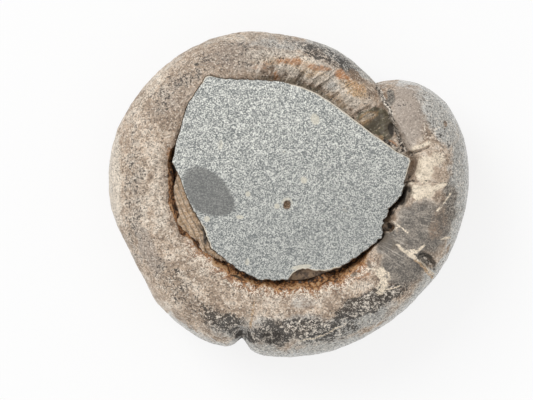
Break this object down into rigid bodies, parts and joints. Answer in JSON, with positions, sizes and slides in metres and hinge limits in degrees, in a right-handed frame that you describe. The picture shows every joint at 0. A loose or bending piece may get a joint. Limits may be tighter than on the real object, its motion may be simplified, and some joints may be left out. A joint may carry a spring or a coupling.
{
  "type": "ammonite fossil",
  "caption": "Coiled stone shell lying on its flat side, with a flat-topped plug of sandy grey rock in its hollow and the last whorl's rounded end lapping the older whorl",
  "frame": {"origin": "On the surface the fossil lies on, under the middle of its outline", "axes": "+Z is up, out of the flat side that the picture shows; +X is along the longest way across, to the right in the picture; +Y is up in the picture"},
  "size_m": [0.0906, 0.0818, 0.0328],
  "materials": {
    "fossil_limestone": "Worn, speckled buff to grey fossil limestone with rust, cream and near-black stains",
    "grey_sandstone": "Flat, matt, fine-grained grey sandstone with pale and dark grains"
  },
  "bodies": {
    "root": {"ammonite_coil": "fossil_limestone", "matrix_plate": "grey_sandstone"}
  },
  "joints": []
}
